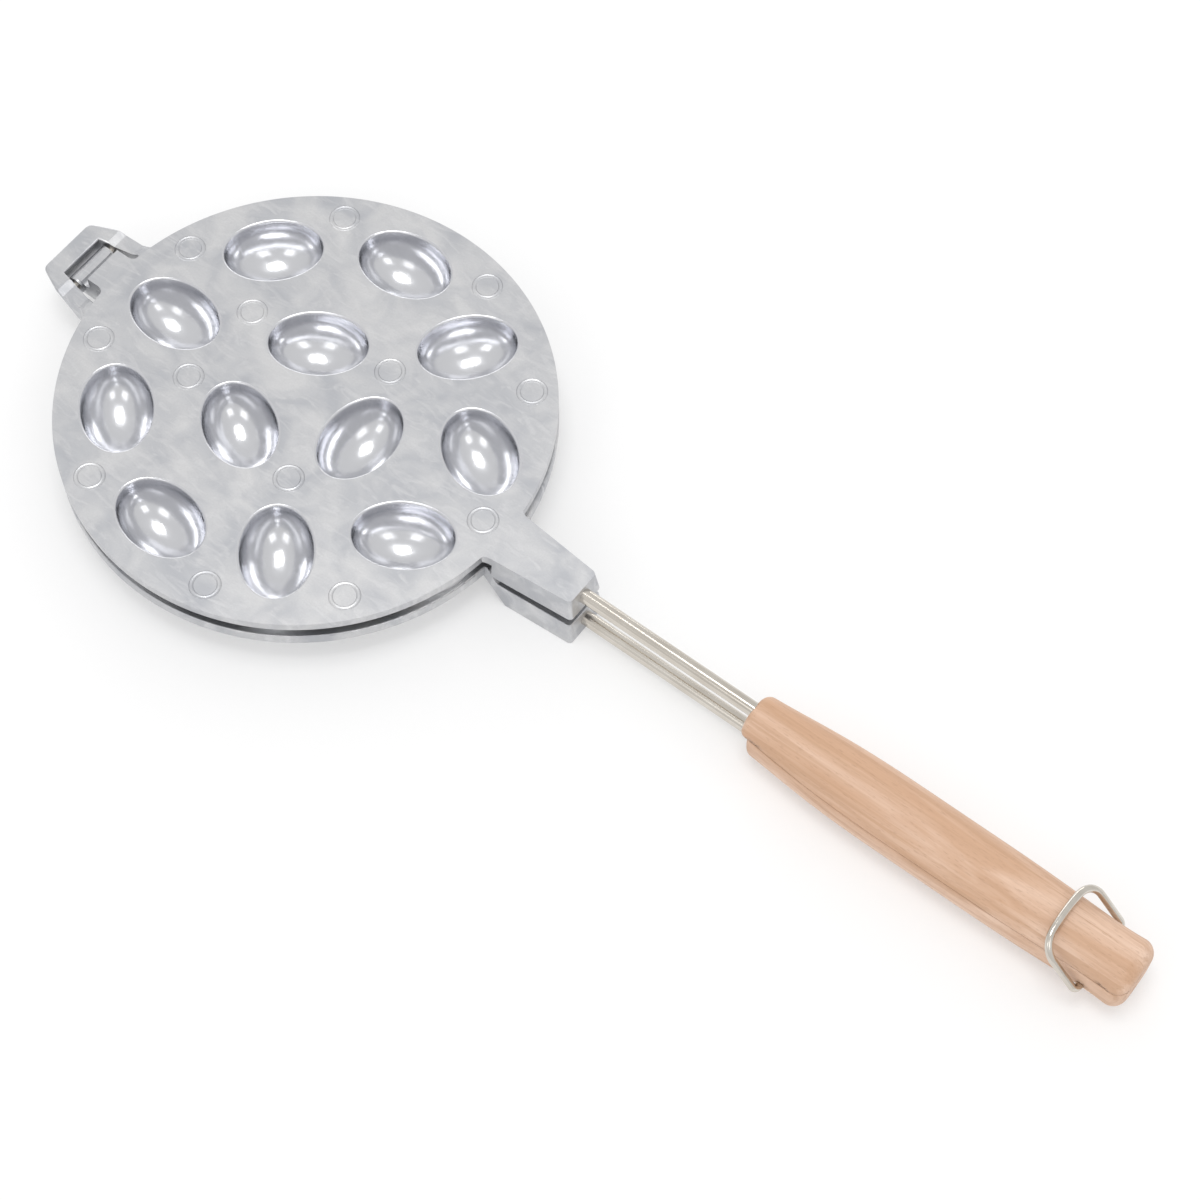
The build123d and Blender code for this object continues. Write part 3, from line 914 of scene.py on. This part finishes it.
# %% Bottom disc, pin, rods, grips and bail
smooth_copy("bottom_plate", "bottom_disc", cast, angle=14)
smooth_copy("hinge_pin", "pin_finished", steel)
smooth_copy("upper_rod", "upper_rod_finished", steel)
smooth_copy("lower_rod", "lower_rod_finished", steel)
smooth_copy("upper_handle", "upper_grip", beech, angle=40)
smooth_copy("lower_handle", "lower_grip", beech, angle=40)
smooth_copy("locking_bail", "bail_finished", steel, angle=60)

# %% [markdown]
# ## The camera
# The object is seen from the handle's side, looking down at about sixty degrees. A camera can be
# aimed by eye, but here its turn, height and distance were worked out from the round rim and the
# pairs of mirrored hollows. Three directions are built from the two angles, and the camera's
# place and turn follow from them.

# %% Camera
view_turn = math.radians(37.38)
view_height = math.radians(61.73)
view_distance = 1024.12 * MM
shift_side = 107.58 * MM
shift_up = -72.64 * MM
across = Vector((math.cos(view_turn), math.sin(view_turn), 0))
forward = Vector((
    -math.sin(view_turn) * math.cos(view_height),
    math.cos(view_turn) * math.cos(view_height),
    -math.sin(view_height),
))
upward = across.cross(forward)
camera_data = bpy.data.cameras.new("camera")
camera_data.sensor_width = 36
camera_data.lens = 83.99
camera_data.clip_end = 20
camera = bpy.data.objects.new("camera", camera_data)
bpy.context.scene.collection.objects.link(camera)
bpy.context.scene.camera = camera
camera.location = centre + across * shift_side + upward * shift_up - forward * view_distance
camera.rotation_euler = Matrix((across, upward, -forward)).transposed().to_euler()
print("camera at", [round(v, 4) for v in camera.location])

# %% [markdown]
# ## The floor
# The iron lies on a pale floor that the camera sees as nearly white. More light would whiten it
# too, but it would also burn out the metal. So about a third of the floor's colour is a glow of
# strength 1 that only the camera, reflections and glass see, and the rest is paint, which keeps
# the shadow.

# %% Floor: its disc and paint
floor_radius = 2.5
floor_sides = 96
bpy.ops.object.select_all(action="DESELECT")
bpy.ops.mesh.primitive_circle_add(
    vertices=floor_sides, radius=floor_radius, fill_type="NGON", location=(0, 0, 0)
)
floor = bpy.context.view_layer.objects.active
floor.name = "floor"
floor_paint = bpy.data.materials.new("floor_paint")
floor_paint.use_nodes = True
floor.data.materials.append(floor_paint)
tree = floor_paint.node_tree
paint = tree.nodes["Principled BSDF"]
paint.inputs["Base Color"].default_value = (0.96, 0.96, 0.96, 1)
paint.inputs["Roughness"].default_value = 0.9
print("floor radius", floor_radius, "m")

# %% Floor: the glow that only the camera and reflections see
glow_share = 0.35
path = tree.nodes.new("ShaderNodeLightPath")
glow = tree.nodes.new("ShaderNodeEmission")
seen = tree.nodes.new("ShaderNodeMath")
seen.operation = "MAXIMUM"
seen_through = tree.nodes.new("ShaderNodeMath")
seen_through.operation = "MAXIMUM"
share = tree.nodes.new("ShaderNodeMath")
share.operation = "MULTIPLY"
share.inputs[1].default_value = glow_share
mixed = tree.nodes.new("ShaderNodeMixShader")
tree.links.new(path.outputs["Is Camera Ray"], seen.inputs[0])
tree.links.new(path.outputs["Is Glossy Ray"], seen.inputs[1])
tree.links.new(seen.outputs[0], seen_through.inputs[0])
tree.links.new(path.outputs["Is Transmission Ray"], seen_through.inputs[1])
tree.links.new(seen_through.outputs[0], share.inputs[0])
tree.links.new(share.outputs[0], mixed.inputs["Fac"])
tree.links.new(paint.outputs["BSDF"], mixed.inputs[1])
tree.links.new(glow.outputs["Emission"], mixed.inputs[2])
tree.links.new(mixed.outputs["Shader"], tree.nodes["Material Output"].inputs["Surface"])
print("the floor glows with a share of", glow_share)

# %% [markdown]
# ## The surround
# In a studio, white walls light an object evenly from all sides. A room could be modelled, but
# the world's own background does the same, and it also gives the metal something plain to
# reflect.

# %% World
surround_strength = 0.8
world = bpy.data.worlds.new("studio")
bpy.context.scene.world = world
world.use_nodes = True
surround = world.node_tree.nodes["Background"]
surround.inputs["Color"].default_value = (1, 1, 1, 1)
surround.inputs["Strength"].default_value = surround_strength
print("surround strength", surround_strength)

# %% [markdown]
# ## The lamps
# What a polished hollow shows is mostly the lamps, so their places matter more than their
# strength. One big lamp would be enough for a matt piece, but here each lamp draws its own shape.
# A square one overhead makes the bright spot in each hollow, two small weak ones on both sides of
# the viewer make the patches beside that spot, and a long one, low and far behind, makes a soft
# band.

# %% Lamps
def softbox(name, direction, distance, size, watts):
    """A square lamp that faces the discs from a direction."""
    direction = Vector(direction).normalized()
    data = bpy.data.lights.new(name, "AREA")
    data.shape = "RECTANGLE"
    data.size, data.size_y = size
    data.energy = watts
    lamp = bpy.data.objects.new(name, data)
    bpy.context.scene.collection.objects.link(lamp)
    lamp.location = centre + direction * distance
    lamp.rotation_euler = direction.to_track_quat("Z", "Y").to_euler()
    print(name, "at", [round(v, 2) for v in lamp.location])


softbox("overhead_lamp", (0.01, -0.01, 1.0), distance=2.4, size=(0.95, 0.95), watts=14)
softbox("far_lamp", (-0.60, 0.75, 0.30), distance=1.2, size=(1.2, 0.25), watts=2.4)
softbox("near_left_lamp", (0.08, -0.76, 0.645), distance=1.2, size=(0.4, 0.4), watts=0.5)
softbox("near_right_lamp", (0.71, -0.28, 0.645), distance=1.2, size=(0.4, 0.4), watts=0.5)

# %% [markdown]
# ## Showing plain colours
# Some ways of showing a picture bend its colours towards film. The Standard one shows them as
# they are written, so that the grey of the metal and the pink of the beech can be judged.

# %% View
bpy.context.scene.view_settings.view_transform = "Standard"
print("view", bpy.context.scene.view_settings.view_transform)
